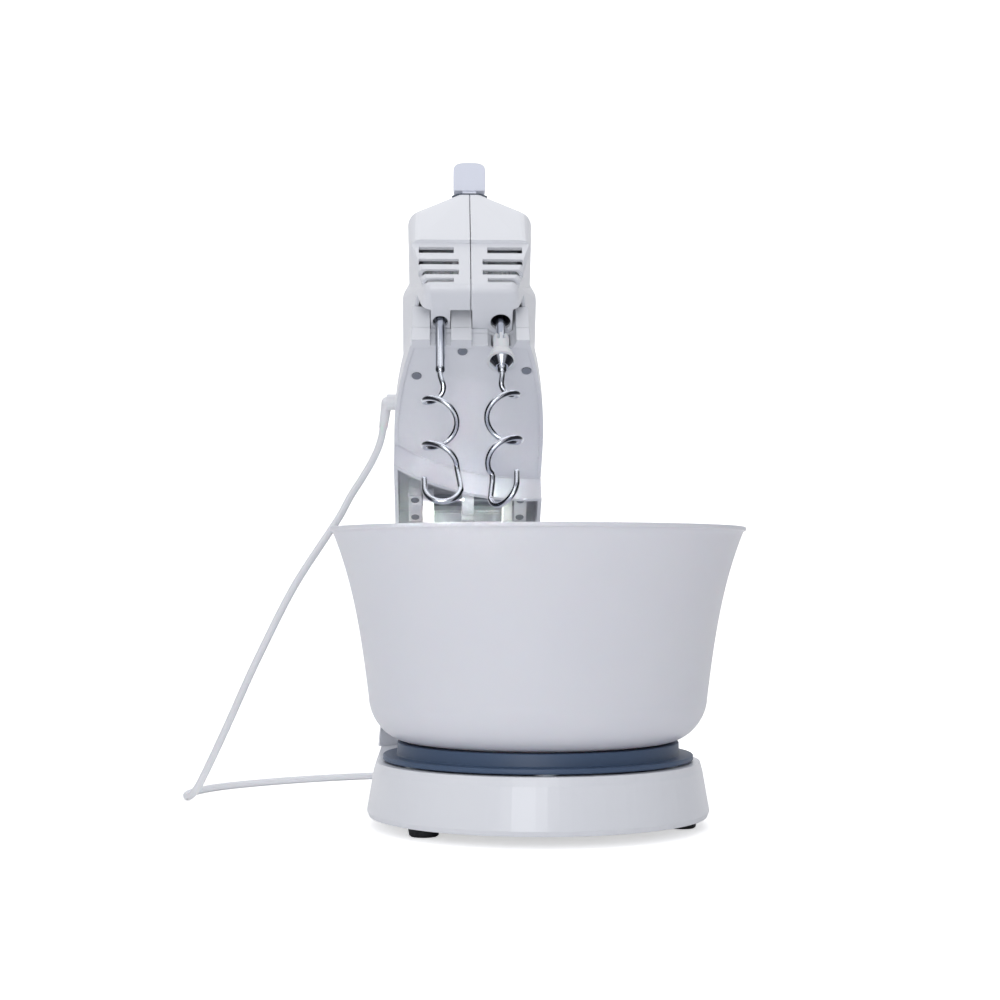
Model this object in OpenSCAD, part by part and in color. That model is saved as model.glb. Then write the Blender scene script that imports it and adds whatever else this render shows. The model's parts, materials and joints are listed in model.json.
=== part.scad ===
// Hand mixer on a tilting stand with a free-turning bowl.
// Units are millimetres. +Z is up, the front faces -Y, and the origin is on the table at the
// centre of the outline without the cord. The arm is drawn tilted up.

/* [Bowl] */
// Diameter over the bowl's rim
bowl_d = 250; // [208:1:300]
// Height of the bowl from its foot ring to its rim
bowl_h = 131.5; // [108:0.5:160]
// Thickness of the bowl's wall
bowl_wall = 2.2; // [1.6:0.1:3]
// Diameter of the bowl's foot ring
bowl_foot_d = 148; // [120:1:150]

/* [Turntable] */
// Diameter of the disc that carries the bowl
disc_d = 169; // [160:1:175]
// Diameter of the flange under the disc
flange_d = 186; // [178:1:192]
// Gap between the flange and the base
turntable_gap = 1; // [0.6:0.1:2]
// Diameter of the steel spindle
spindle_d = 8; // [6:0.5:10]

/* [Base] */
// Diameter of the base's round front
base_d = 205; // [196:1:250]
// Height of the base's top over the table
base_top = 38.5; // [32:0.5:50]
// Wall of the moulded housings
wall = 2.5; // [2:0.1:3]
// Length of the base behind the hinge
tail = 70; // [60:1:90]
// Height of the rubber feet
foot_h = 6.5; // [4:0.5:10]
// Diameter of the rubber feet
foot_d = 19; // [14:1:24]

/* [Column] */
// Width of the column where it stands on the base
column_foot_w = 118; // [110:1:130]
// Width of the column at its top
column_top_w = 92; // [84:1:94]
// Gap between the bowl's rim and the column's hollow front
rim_gap = 6; // [4:0.5:12]
// Distance of the hinge behind the column's hollow front, at the bowl's centre line
hinge_back = 27; // [25:0.5:34]
// Height of the hinge over the bowl's rim
hinge_rise = 23; // [21:0.5:35]
// Diameter of the hinge pin
pin_d = 8; // [6:0.5:9]

/* [Arm] */
// Angle at which the arm is drawn, over the lowered position
tilt = 38; // [20:1:45]
// Greatest width of the arm
arm_w = 99; // [98:1:104]
// Width of the arm at its front edge
arm_front_w = 75; // [70:1:80]
// Distance of the arm's centre plane to the left of the bowl's axis
arm_offset = 40; // [32:1:44]
// Depth of the skirt that hangs over the column
skirt = 18; // [12:1:19]

/* [Mixer] */
// Distance between the two hook sockets
socket_gap = 38; // [36:0.5:44]
// Length of the mixer's nose in front of its hook sockets
mixer_front = 32; // [28:1:57]
// Width of the mixer's body
mixer_w = 87; // [82:1:92]
// Diameter of the hook shafts
shaft_d = 6; // [5:0.5:6]
// Diameter of the hook wire
wire_d = 3.5; // [3:0.1:4]
// Distance that a hook slides into its socket
hook_travel = 26; // [20:1:26]

/* [Cord] */
// Diameter of the mains lead
cord_d = 5; // [4:0.1:6]

/* [Hidden] */

$fn = 48;
hull_fn = 24;
eps = 0.01;

// Clearances
run_fit = 0.05;
seat_gap = 0.1;
part_gap = 0.4;

// Bowl and turntable
rim_r = bowl_d / 2;
turn_z = base_top + turntable_gap;
flange_t = 3;
disc_top = turn_z + 10.5;
disc_floor = disc_top - 3.5;
disc_t = 2.5;
bowl_z = disc_floor + seat_gap;
rim_z = bowl_z + bowl_h;
foot_r = bowl_foot_d / 2;
foot_ring_h = 4;
ring_wall = 2.4;
hub_r = 11;
bush_r = spindle_d / 2 + 2;
pad_count = 6;
pad_r = 7;
pad_ring_r = flange_d / 2 - 10;
screw_head_h = 2.2;

// Frame: the bowl's axis and the hinge, with the outline centred on the origin
column_face_r = rim_r + rim_gap;
reach = column_face_r + hinge_back;
base_tail = reach + tail;
bowl_y = (rim_r - base_tail) / 2;
hinge_y = bowl_y + reach;
hinge_z = rim_z + hinge_rise;
arm_x = -arm_offset;

// Base
base_r = base_d / 2;
base_draft = 5.5;
tail_corner_r = 34;
tail_half_w = 62;
plate_t = 2;
boss_r = 4.5;
screw_r = 1.5;
foot_stem_r = 3;
base_screw_at = [[-50, -66], [62, -54], [-84, 60], [62, 80], [-62, 203], [-18, 203]];
foot_at = [[-68, -49], [84, -19], [-84, 190], [4, 190]];

// Column, measured from the hinge
column_top = hinge_z - 29;
column_rear = 37;
column_rear_top = 27;
column_corner_r = 14;
cover_at = 12;
ear_x = 27;
ear_w = 7.6;
ear_r = 8;
ear_foot = 16;
ear_bore_r = pin_d / 2 + 1.5;
column_screw_at = [[-48, -50], [44, -22], [-44, 24], [44, 24]];
column_screw_r = 2;
column_boss_r = 5;
cover_screw_z = [75, 130];
cover_screw_x = 30;

// Lock: a slider that pushes a bolt up into the arm's hub
bolt_w = 8;
bolt_t = 5;
lock_travel = 6;
hub_notch = 6;
arm_hub_r = 16;
arm_hub_w = 8;
lock_bar_z = column_top - 34;
lock_bar_h = 6;

// Arm, in its own frame: x across, -y forward from the hinge, z up from the hinge
arm_under = -3;
arm_seam = 8;
arm_deck = 12;
arm_front = reach - 5;
arm_widest = 60;
arm_rear_r = 27;
arm_rear_cut = -12;
lip_gap = 7;
panel_edge = 2.6;
panel_depth = 0.8;
lip_r = rim_r + lip_gap;
prong_front = reach;
prong_back = arm_front - 4;
prong_top = 27;
prongs = [[-36.6, -25.4], [-12.3, 0.7], [26.9, 36.9]];
collar_notch_r = 9.6;
arm_screw_at = [[-5, arm_front - 6], [-34, arm_front - 28], [36, arm_front - 23]];
cap_x = 31.6;
cap_w = 9;
cap_len = 27;
cap_t = 4;
cap_screw_y = 9;

// Mixer, in the arm's frame
mixer_under = arm_deck + seat_gap;
mixer_rear = 6;
shell_wall = 2.4;
socket_x = socket_gap / 2;
socket_l = reach;
brow_h = 53.8;
brow_depth = 2.6;
// Vent slots: where each starts beside the centre, its lower edge, and how high it is
vents = [[10.6, 45.2, 5.2], [7.5, 35.2, 4.6], [7.5, 26.6, 4.2], [10.6, 20, 3.4]];
vent_out = 32.5;
seam_gap = 0.25;
nose_l = socket_l + mixer_front;
// Where the mixer's body meets its nose
neck_l = socket_l - 18;
body_half_w = mixer_w / 2;
motor_h = 45;
gear_h = 45;
gear_t = 9;
worm_r = 4;
worm_back = socket_l - 15;
gear_r = socket_x - worm_r - part_gap;
gear_teeth = 30;
spindle_low = mixer_under + 4;
spindle_top = 60;
left_tube_r = 5.4;
right_tube_r = 7.1;
collar_bore_r = 6.1;
left_mouth_r = 4.75;
right_mouth_r = 6.3;
frame_low = 31;
frame_high = 57;
frame_t = 3;
stator_l = 83;
stator_t = 30;
rotor_r = 15.5;
air_gap = 0.5;
motor_shaft_r = 3;
bracket_half = body_half_w - shell_wall - 2.8;
strip_w = 23;
strip_t = 1.6;
strip_front = 8;
strip_back = 28;
knob_w = 21;
knob_h = 20;
knob_arch = 6;
knob_t = 8;
knob_back = 12;
knob_low = 86;
knob_foot = 113.3;
knob_lean = 25;
knob_travel = 2.4;
speed_travel = 12;
stem_w = 9;
stem_t = 6;
ejector_z = 68;
ejector_t = 2.5;
spring_wire_r = 0.6;
spring_r = 5;
spring_turns = 4;
// Posts that the two shells meet on: distance in front of the hinge, height and length
shell_posts = [[20, 30, 40], [20, 58, 37], [104, 18.2, 34], [neck_l - 2, 71, 33]];
post_r = 3.6;

// Hooks, measured from their sockets
shaft_in = 8;
homed_top = mixer_under + shaft_in + hook_travel + 0.3;
shaft_r = shaft_d / 2;
wire_r = wire_d / 2;
shaft_out = 44;
hook_coil_r = 10;
hook_pitch = 36;
hook_turns = 2;
loop_r = 10.5;
loop_shift = 1.5;
hook_len = 149;
right_hook_turn = -45;
wing_span = 9;
collar_r = 5;
collar_teeth = 8;
cup_r = 9;

// Cord: where it leaves the mixer, and its route about the bowl's axis at table level
exit_l = 77;
exit_h = 20;
exit_x = -54.5;
gland_r = 5.5;
boot_end_r = 3;
cord_r = cord_d / 2;
cord_route = [
    [-97.2, 121.9, 248.1], [-99, 127, 240], [-103, 131, 230], [-111, 134, 216], [-119, 131, 203],
    [-126, 124, 189], [-132, 118, 179], [-140, 110, 166], [-148, 103, 153], [-156, 98, 139],
    [-165, 94, 121], [-173, 91, 104], [-181, 90, 87], [-189, 90, 69], [-197, 91, 51],
    [-205, 94, 34], [-212, 98.5, 20], [-217, 103.5, 11], [-222, 111, 5], [-226, 121, 2.8],
    [-228, 133, 2.5], [-226, 147, 2.5], [-221, 161, 2.5], [-212, 176, 2.5], [-198, 191, 2.5],
        [-181, 205, 2.5],
    [-162, 218, 2.5], [-142, 229, 2.5], [-121, 238, 2.5], [-99, 245, 2.5], [-77, 249, 2.5],
    [-55, 251.5, 2.5], [-33, 252, 2.5], [-12, 252, 2.7], [6, 252, 3], [18, 252, 3.3]
];
coil_at = [18, 282];
coil_mid_r = 27.5;
coil_wide = 2 * cord_d;
coil_high = 2 * cord_d;
tie_t = 0.8;
tie_w = 10;
plug_start = 26;
plug_w = 26;
plug_t = 13;
plug_len = 34;
pin_r = 2;
pin_gap = 19;
pin_len = 19;

// Colours
white = [0.93, 0.94, 0.96];
slate_blue = [0.30, 0.37, 0.48];
lavender = [0.84, 0.87, 0.94];
slate = [0.20, 0.24, 0.30];
steel = [0.62, 0.64, 0.68];
chrome = [0.78, 0.79, 0.81];
nylon = [0.92, 0.93, 0.95];
brass = [0.78, 0.62, 0.33];
copper = [0.72, 0.42, 0.24];
rubber = [0.10, 0.10, 0.11];
board_green = [0.13, 0.36, 0.24];
lead_white = [0.95, 0.95, 0.96];

// ---- Places ----

module at_bowl() translate([0, bowl_y, 0]) children();
module at_column() translate([arm_x, hinge_y, 0]) children();
module on_arm() translate([arm_x, hinge_y, hinge_z]) rotate([-tilt, 0, 0]) children();
module at_socket(side) on_arm() translate([side * socket_x, -socket_l, 0]) children();
// A cylinder along X, centred on x
module rod_x(r, x, length) translate([x - length / 2, 0, 0]) rotate([0, 90, 0])
    cylinder(r = r, h = length);
// A cylinder along -Y, from one distance in front of the hinge to another
module rod_l(r, from, to) translate([0, -from, 0]) rotate([90, 0, 0]) cylinder(r = r, h = to - from);

// ---- Curves ----

function bezier(p, t) =
    pow(1 - t, 3) * p[0] + 3 * pow(1 - t, 2) * t * p[1] + 3 * (1 - t) * t * t * p[2] + pow(t, 3) * p[3];
function bezier_run(p, steps) = [for (i = [0 : steps]) bezier(p, i / steps)];
function catmull(p, i, t) =
    let (a = p[max(i - 1, 0)], b = p[i], c = p[i + 1], d = p[min(i + 2, len(p) - 1)])
    0.5 * (2 * b + (c - a) * t + (2 * a - 5 * b + 4 * c - d) * t * t + (3 * b - a - 3 * c + d) * t * t *
        t);
function smooth(p, n) = concat([for (i = [0 : len(p) - 2]) for (k = [0 : n - 1]) catmull(p, i, k / n)],
    [p[len(p) - 1]]);
function unit(v) = v / norm(v);
function along(p, i) = unit(p[min(i + 1, len(p) - 1)] - p[max(i - 1, 0)]);
// A side direction for each ring, carried from ring to ring so that the tube does not twist
function first_side(t) = unit(cross(t, abs(t[2]) < 0.9 ? [0, 0, 1] : [1, 0, 0]));
function frames(p, i = 0, s = undef) =
    i == len(p) ? [] :
    let (t = along(p, i), a = i == 0 ? first_side(t) : unit(s - (s * t) * t))
    concat([[a, cross(t, a)]], frames(p, i + 1, a));

// A closed round tube along the points p
module tube(p, r, sides = 10) {
    f = frames(p);
    rings = [for (i = [0 : len(p) - 1]) for (k = [0 : sides - 1])
        p[i] + r * (cos(360 * k / sides) * f[i][0] + sin(360 * k / sides) * f[i][1])];
    skin = [for (i = [0 : len(p) - 2]) for (k = [0 : sides - 1])
        [i * sides + k, (i + 1) * sides + k, (i + 1) * sides + (k + 1) % sides, i * sides + (k + 1) %
            sides]];
    start = [for (k = [0 : sides - 1]) k];
    end = [for (k = [sides - 1 : -1 : 0]) (len(p) - 1) * sides + k];
    polyhedron(points = rings, faces = concat(skin, [start, end]));
}

// ---- Bowl and turntable ----

function wall_line(r, foot, z0, z1, t) = concat(
    bezier_run([[foot + 4 - t, z0 + t], [foot + 16 - t, z0 + 0.7 + t], [foot + 26 - t, z0 + 11.4],
        [foot + 27.5 - t, z0 + 24]], 8),
    bezier_run([[foot + 27.5 - t, z0 + 25], [foot + 31.6 - t, z0 + 57], [r - 15 - t, z1 - 36],
        [r - 1.5 - t, z1 - 3]], 12));

module bowl_profile() {
    outer = wall_line(rim_r, foot_r, bowl_z + foot_ring_h, rim_z, 0);
    inner = wall_line(rim_r, foot_r, bowl_z + foot_ring_h, rim_z, bowl_wall);
    polygon(concat(
        [[0, bowl_z + foot_ring_h], [foot_r - ring_wall, bowl_z + foot_ring_h],
            [foot_r - ring_wall, bowl_z], [foot_r, bowl_z], [foot_r, bowl_z + foot_ring_h - 0.2]],
        outer,
        [[rim_r - 0.4, rim_z - 2.6], [rim_r, rim_z - 2], [rim_r, rim_z - 0.7], [rim_r - 0.7, rim_z],
            [rim_r - 3.2, rim_z], [rim_r - 4, rim_z - 0.8]],
        [for (i = [len(inner) - 1 : -1 : 0]) inner[i]],
        [[0, bowl_z + foot_ring_h + bowl_wall]]));
}

module bowl() color(white) at_bowl() rotate_extrude($fn = 96) bowl_profile();

module turntable() color(slate_blue) at_bowl() rotate_extrude($fn = 96) polygon([
    [spindle_d / 2 - 1, disc_floor], [foot_r + part_gap, disc_floor], [foot_r + part_gap, disc_top - 0.6],
    [foot_r + part_gap + 0.6, disc_top], [disc_d / 2 - 1, disc_top], [disc_d / 2, disc_top - 1],
    [disc_d / 2, turn_z + flange_t], [flange_d / 2 - 1, turn_z + flange_t],
        [flange_d / 2, turn_z + flange_t - 1],
    [flange_d / 2, turn_z], [disc_d / 2 - disc_t, turn_z], [disc_d / 2 - disc_t, disc_top - disc_t - 1],
    [foot_r + 4, disc_top - disc_t - 1], [foot_r + 2, disc_floor - disc_t], [hub_r, disc_floor - disc_t],
    [hub_r, turn_z + 0.3], [bush_r, turn_z + 0.3], [bush_r, disc_floor - disc_t],
        [spindle_d / 2 - 1, disc_floor - disc_t]
]);

module turntable_bush() color(brass) at_bowl() translate([0, 0, turn_z + 0.3]) difference() {
    cylinder(r = bush_r, h = disc_floor - disc_t - turn_z - 0.3);
    translate([0, 0, -1]) cylinder(r = spindle_d / 2 + run_fit, h = 20);
}

module turntable_spindle() color(steel) at_bowl() difference() {
    translate([0, 0, base_top - 18])
        cylinder(r = spindle_d / 2, h = disc_floor - disc_t - seat_gap - base_top + 18);
    translate([0, 0, base_top - 4]) cylinder(r = 2, h = 20);
}

module turntable_screw() color(steel) at_bowl() {
    translate([0, 0, base_top - 4]) cylinder(r = 2, h = disc_floor + part_gap - base_top + 4);
    translate([0, 0, disc_floor + part_gap]) cylinder(r1 = 6, r2 = 5, h = screw_head_h);
}

module glide_pads() color(nylon) at_bowl() for (i = [0 : pad_count - 1]) rotate(60 * i + 30)
    translate([pad_ring_r, 0, base_top]) cylinder(r = pad_r, h = turntable_gap - seat_gap);

// ---- Base ----

// The base's plan as columns of short discs, joined by a hull. grow is added to every radius.
module base_level(z, grow, t) {
    translate([0, 0, z]) cylinder(r = base_r + grow, h = t, $fn = 96);
    for (side = [-1, 1]) translate([arm_x + side * (tail_half_w - tail_corner_r),
        base_tail - tail_corner_r, z])
        cylinder(r = tail_corner_r + grow, h = t, $fn = 64);
}
module base_block(inset) hull() {
    base_level(foot_h - (inset > 0 ? 1 : 0), -1.2 - inset, eps);
    base_level(foot_h + 3, -inset, eps);
    base_level(base_top - 5, -base_draft + 1.5 - inset, eps);
    base_level(base_top - inset - eps, -base_draft - inset, eps);
}
module base_bosses() {
    translate([0, 0, foot_h + plate_t]) cylinder(r = 10, h = base_top - foot_h - plate_t - 1);
    for (p = base_screw_at) translate([p[0], p[1], foot_h + plate_t])
        cylinder(r = boss_r, h = base_top - foot_h - plate_t - 1);
}
module base_housing() color(white) difference() {
    at_bowl() union() {
        difference() {
            base_block(0);
            base_block(wall);
        }
        base_bosses();
    }
    at_bowl() translate([0, 0, base_top - 18]) cylinder(r = spindle_d / 2, h = 30);
    at_bowl() for (p = base_screw_at) translate([p[0], p[1], 0]) cylinder(r = screw_r, h = 24);
    at_column() for (p = column_screw_at) translate([p[0], p[1], 20])
        cylinder(r = column_screw_r, h = 30);
    at_column() for (p = column_screw_at) translate([p[0], p[1], base_top - wall - 30])
        cylinder(r = 4, h = 30);
}

module base_plate() color(white) at_bowl() difference() {
    hull() {
        base_level(foot_h, -1.2 - wall - part_gap, eps);
        base_level(foot_h + plate_t - eps, -1 - wall - part_gap, eps);
    }
    for (p = base_screw_at) translate([p[0], p[1], 0]) cylinder(r = screw_r, h = 20);
    for (p = foot_at) translate([p[0], p[1], 0]) cylinder(r = foot_stem_r, h = 20);
}

module base_screws() color(steel) at_bowl() for (p = base_screw_at) translate([p[0], p[1], 0]) {
    translate([0, 0, foot_h - screw_head_h]) cylinder(r = 3, h = screw_head_h);
    translate([0, 0, foot_h - 1]) cylinder(r = screw_r, h = 16);
}

module rubber_feet() color(rubber) at_bowl() for (p = foot_at) translate([p[0], p[1], 0]) {
    rotate_extrude() polygon([[0, 0], [foot_d / 2 - 2, 0], [foot_d / 2 - 1, 0.8], [foot_d / 2, foot_h],
        [0, foot_h]]);
    translate([0, 0, foot_h - 1]) cylinder(r = foot_stem_r, h = plate_t + 1);
}

// ---- Column ----

module column_level(z, half_w, rear, inset, t) for (side = [-1, 1]) {
    translate([side * (half_w - column_corner_r), rear - column_corner_r, z])
        cylinder(r = column_corner_r - inset, h = t, $fn = hull_fn);
    translate([side * (half_w - column_corner_r), column_corner_r - 80, z])
        cylinder(r = column_corner_r - inset, h = t, $fn = hull_fn);
}
module column_block(inset) hull() {
    column_level(base_top + (inset > 0 ? wall : 0), column_foot_w / 2, column_rear, inset, eps);
    column_level(base_top + 60, column_foot_w / 2 - 5, column_rear - 3, inset, eps);
    column_level(column_top - inset - eps, column_top_w / 2, column_rear_top, inset, eps);
}
module hollow_front(r) translate([arm_offset, -reach, base_top - 2]) cylinder(r = r, h = 200, $fn = 128);
module column_shell() difference() {
    column_block(0);
    hollow_front(column_face_r);
    difference() {
        column_block(wall);
        hollow_front(column_face_r + wall);
    }
}
module column_ears() for (side = [-1, 1]) translate([side * ear_x - ear_w / 2, 0, 0]) hull() {
    translate([0, 0, hinge_z]) rotate([0, 90, 0]) cylinder(r = ear_r, h = ear_w);
    translate([0, -ear_foot / 2, column_top - wall]) cube([ear_w, ear_foot, wall]);
}
module column_bosses(front) for (p = column_screw_at) if ((p[1] < cover_at) == front)
    translate([p[0], p[1], base_top]) cylinder(r = column_boss_r, h = 22);
// Posts for the rear cover's screws, each with a rib out to the side wall
module cover_posts(y, length) for (z = cover_screw_z) for (side = [-1, 1])
    translate([side * cover_screw_x, y, z]) {
    rotate([-90, 0, 0]) cylinder(r = 4, h = length);
    translate([side > 0 ? 0 : -40, 0, -1]) cube([40, min(length, 12), 2]);
}
module column_holes() for (p = column_screw_at) translate([p[0], p[1], base_top - 10])
    cylinder(r = column_screw_r, h = 28);

module column_front() color(white) at_column() difference() {
    union() {
        intersection() {
            column_shell();
            translate([-100, -150, 0]) cube([200, 150 + cover_at, 300]);
        }
        column_ears();
        column_bosses(true);
        intersection() {
            column_block(0);
            cover_posts(cover_at - 12, 12);
        }
    }
    translate([0, 0, hinge_z]) rod_x(ear_bore_r, 0, 80);
    for (z = cover_screw_z) for (side = [-1, 1]) translate([side * cover_screw_x, cover_at - 10, z])
        rotate([-90, 0, 0]) cylinder(r = screw_r, h = 12);
    column_holes();
    translate([-bolt_w / 2 - part_gap, -bolt_t / 2 - part_gap, column_top - 20])
        cube([bolt_w + 2 * part_gap, bolt_t + 2 * part_gap, 40]);
    translate([30, -bolt_t / 2 - part_gap, lock_bar_z - part_gap])
        cube([40, bolt_t + 2 * part_gap, lock_bar_h + lock_travel + 2 * part_gap]);
}

module column_rear_cover() color(white) at_column() difference() {
    union() {
        intersection() {
            column_shell();
            translate([-100, cover_at, 0]) cube([200, 150, 300]);
        }
        intersection() {
            column_bosses(false);
            translate([-100, cover_at, 0]) cube([200, 150, 300]);
        }
        intersection() {
            column_block(0);
            cover_posts(cover_at, 30);
        }
    }
    for (z = cover_screw_z) for (side = [-1, 1]) translate([side * cover_screw_x, cover_at - 10, z])
        rotate([-90, 0, 0]) cylinder(r = screw_r, h = 60);
    for (z = cover_screw_z) for (side = [-1, 1]) translate([side * cover_screw_x, cover_at + 4, z])
        rotate([-90, 0, 0]) cylinder(r = 3, h = 60);
    column_holes();
}

module column_screws() color(steel) at_column() for (p = column_screw_at) translate([p[0], p[1], 0]) {
    translate([0, 0, base_top - wall - screw_head_h]) cylinder(r = 3.6, h = screw_head_h);
    translate([0, 0, base_top - wall - 1]) cylinder(r = column_screw_r, h = 17);
}

module cover_screws() color(steel) at_column() for (z = cover_screw_z) for (side = [-1, 1])
    translate([side * cover_screw_x, cover_at, z]) rotate([-90, 0, 0]) {
    translate([0, 0, -9]) cylinder(r = screw_r, h = 14);
    translate([0, 0, 4]) cylinder(r = 2.8, h = screw_head_h);
}

module hinge_bushes() color(nylon) at_column() translate([0, 0, hinge_z]) for (side = [-1, 1])
    difference() {
    rod_x(ear_bore_r, side * ear_x, ear_w);
    rod_x(pin_d / 2 + run_fit, side * ear_x, ear_w + 2);
}

module lock_slider() color(nylon) at_column() {
    translate([-bolt_w / 2, -bolt_t / 2, lock_bar_z])
        cube([bolt_w, bolt_t, hinge_z - arm_hub_r - 1 - lock_bar_z]);
    translate([-bolt_w / 2, -bolt_t / 2, lock_bar_z]) cube([bolt_w / 2 + 54, bolt_t, lock_bar_h]);
}

module lock_knob() color(lavender) at_column() translate([52.5, 0, lock_bar_z + lock_bar_h / 2])
    difference() {
    hull() for (dz = [-4, 4]) translate([0, 0, dz]) rotate([0, 90, 0]) {
        cylinder(r = 8, h = 4.5, $fn = hull_fn);
        cylinder(r = 6.5, h = 6, $fn = hull_fn);
    }
    translate([-1, -bolt_t / 2, -lock_bar_h / 2]) cube([1 + 54 - 52.5, bolt_t, lock_bar_h]);
}

// ---- Arm ----

function arm_half(l, inset) =
    let (a = arm_w / 2, b = arm_front_w / 2, s = max(0, l - arm_widest) / (arm_front - arm_widest))
    a - (a - b) * s * s - inset;
module arm_plan(inset) {
    right = [for (l = [arm_front - inset, for (i = [9 : -1 : 0])
        arm_widest + (arm_front - inset - arm_widest) * i / 10]) [arm_half(l, inset), -l]];
    rear = [[arm_w / 2 - inset, 8], [column_top_w / 2 + 1.3 + wall - inset, arm_rear_r + 1]];
    half = concat(right, rear);
    polygon(concat(half, [for (i = [len(half) - 1 : -1 : 0]) [-half[i][0], half[i][1]]]));
}
module bowl_circle(r) translate([arm_offset, -reach]) circle(r = r, $fn = 128);
// Everything in front of the hinge, and only the round end behind it
module arm_rear_round(r) {
    translate([-80, -300, -60]) cube([160, 300, 160]);
    rod_x(r, 0, 160);
}
module slab(low, high) translate([0, 0, low]) linear_extrude(high - low) children();
module arm_body() difference() {
    intersection() {
        union() {
            slab(arm_under, arm_deck) arm_plan(0);
            slab(arm_under - skirt, arm_under + eps) difference() {
                arm_plan(0);
                bowl_circle(lip_r);
            }
        }
        arm_rear_round(arm_rear_r);
    }
    intersection() {
        union() {
            slab(arm_under + wall, arm_deck - wall) arm_plan(wall);
            slab(arm_under - skirt - 1, arm_deck - wall) difference() {
                arm_plan(wall);
                bowl_circle(lip_r + wall);
            }
        }
        arm_rear_round(arm_rear_r - wall);
    }
    translate([-80, 0, -60]) cube([160, 60, 60 + arm_rear_cut]);
}
module arm_prongs() for (p = prongs) translate([p[0], -prong_front, arm_under])
    cube([p[1] - p[0], prong_front - prong_back, prong_top - arm_under]);
module collar_notch() translate([socket_x, -reach, arm_under - 1]) cylinder(r = collar_notch_r, h = 40);
module arm_screw_bosses(low, high) for (p = arm_screw_at) translate([p[0], -p[1], low])
    cylinder(r = boss_r - 0.5, h = high - low);

// The underside over the bowl is a flat panel set in from the arm's edges
module panel_recess() slab(arm_under - 1, arm_under + panel_depth) intersection() {
    arm_plan(panel_edge);
    bowl_circle(lip_r - 0.5);
}

module arm_lower() color(white) on_arm() difference() {
    union() {
        intersection() {
            union() {
                arm_body();
                arm_prongs();
            }
            translate([-80, -300, -60]) cube([160, 400, 60 + arm_seam]);
        }
        arm_screw_bosses(arm_under + 1, arm_seam);
    }
    for (p = arm_screw_at) translate([p[0], -p[1], arm_under - 1]) cylinder(r = 3.2, h = 3.5);
    for (p = arm_screw_at) translate([p[0], -p[1], arm_under - 1]) cylinder(r = screw_r, h = 30);
    panel_recess();
    collar_notch();
}

module hinge_seat() for (side = [-1, 1]) translate([side > 0 ? cap_x : -cap_x - cap_w, -cap_len / 2, 0])
    cube([cap_w, cap_len, arm_deck - 1]);
module arm_hub() intersection() {
    rod_x(arm_hub_r, 0, arm_hub_w);
    translate([-20, -30, -30]) cube([40, 60, 30 + arm_deck - 1]);
}
// Notches for the lock bolt: one under the hinge with the arm lowered, one as the arm is drawn
module hub_notches() for (turn = [0, tilt]) rotate([turn, 0, 0])
    translate([-arm_hub_w, -bolt_t / 2 - part_gap, -arm_hub_r - 1])
        cube([2 * arm_hub_w, bolt_t + 2 * part_gap, hub_notch + 1 + part_gap]);

module arm_upper() color(white) on_arm() difference() {
    union() {
        intersection() {
            union() {
                arm_body();
                arm_prongs();
            }
            translate([-80, -300, arm_seam + seam_gap]) cube([160, 400, 60]);
        }
        arm_screw_bosses(arm_seam, arm_deck - 1);
        hinge_seat();
        arm_hub();
    }
    for (p = arm_screw_at) translate([p[0], -p[1], 0]) cylinder(r = screw_r, h = arm_deck - 1.5);
    for (side = [-1, 1]) rod_x(pin_d / 2, side * (cap_x + cap_w / 2), cap_w + 1);
    rod_x(pin_d / 2 + 1, 0, 2 * arm_hub_w);
    hub_notches();
    for (side = [-1, 1]) for (y = [-cap_screw_y, cap_screw_y])
        translate([side * (cap_x + cap_w / 2), y, -1]) cylinder(r = screw_r, h = 9);
    collar_notch();
}

module arm_screws() color(steel) on_arm() for (p = arm_screw_at)
    translate([p[0], -p[1], arm_under + 2.5 - screw_head_h]) {
    cylinder(r = 3, h = screw_head_h);
    cylinder(r = screw_r, h = 10);
}

module hinge_pin() color(steel) on_arm() rod_x(pin_d / 2, 0, 2 * (cap_x + cap_w) - 1);

module hinge_caps() color(white) on_arm() difference() {
    for (side = [-1, 1]) translate([side > 0 ? cap_x : -cap_x - cap_w, -cap_len / 2, -pin_d / 2 -
        cap_t]) cube([cap_w, cap_len, pin_d / 2 + cap_t]);
    rod_x(pin_d / 2, 0, 120);
    for (side = [-1, 1]) for (y = [-cap_screw_y, cap_screw_y])
        translate([side * (cap_x + cap_w / 2), y, -20]) cylinder(r = screw_r, h = 22);
    for (side = [-1, 1]) for (y = [-cap_screw_y, cap_screw_y])
        translate([side * (cap_x + cap_w / 2), y, -pin_d / 2 - cap_t - 10])
        cylinder(r = 3, h = 10 + screw_head_h);
}

module hinge_cap_screws() color(steel) on_arm() for (side = [-1, 1]) for
    (y = [-cap_screw_y, cap_screw_y]) translate([side * (cap_x + cap_w / 2), y, -pin_d / 2 - cap_t]) {
    cylinder(r = 2.8, h = screw_head_h);
    cylinder(r = screw_r, h = 14);
}

// ---- Mixer ----

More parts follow.
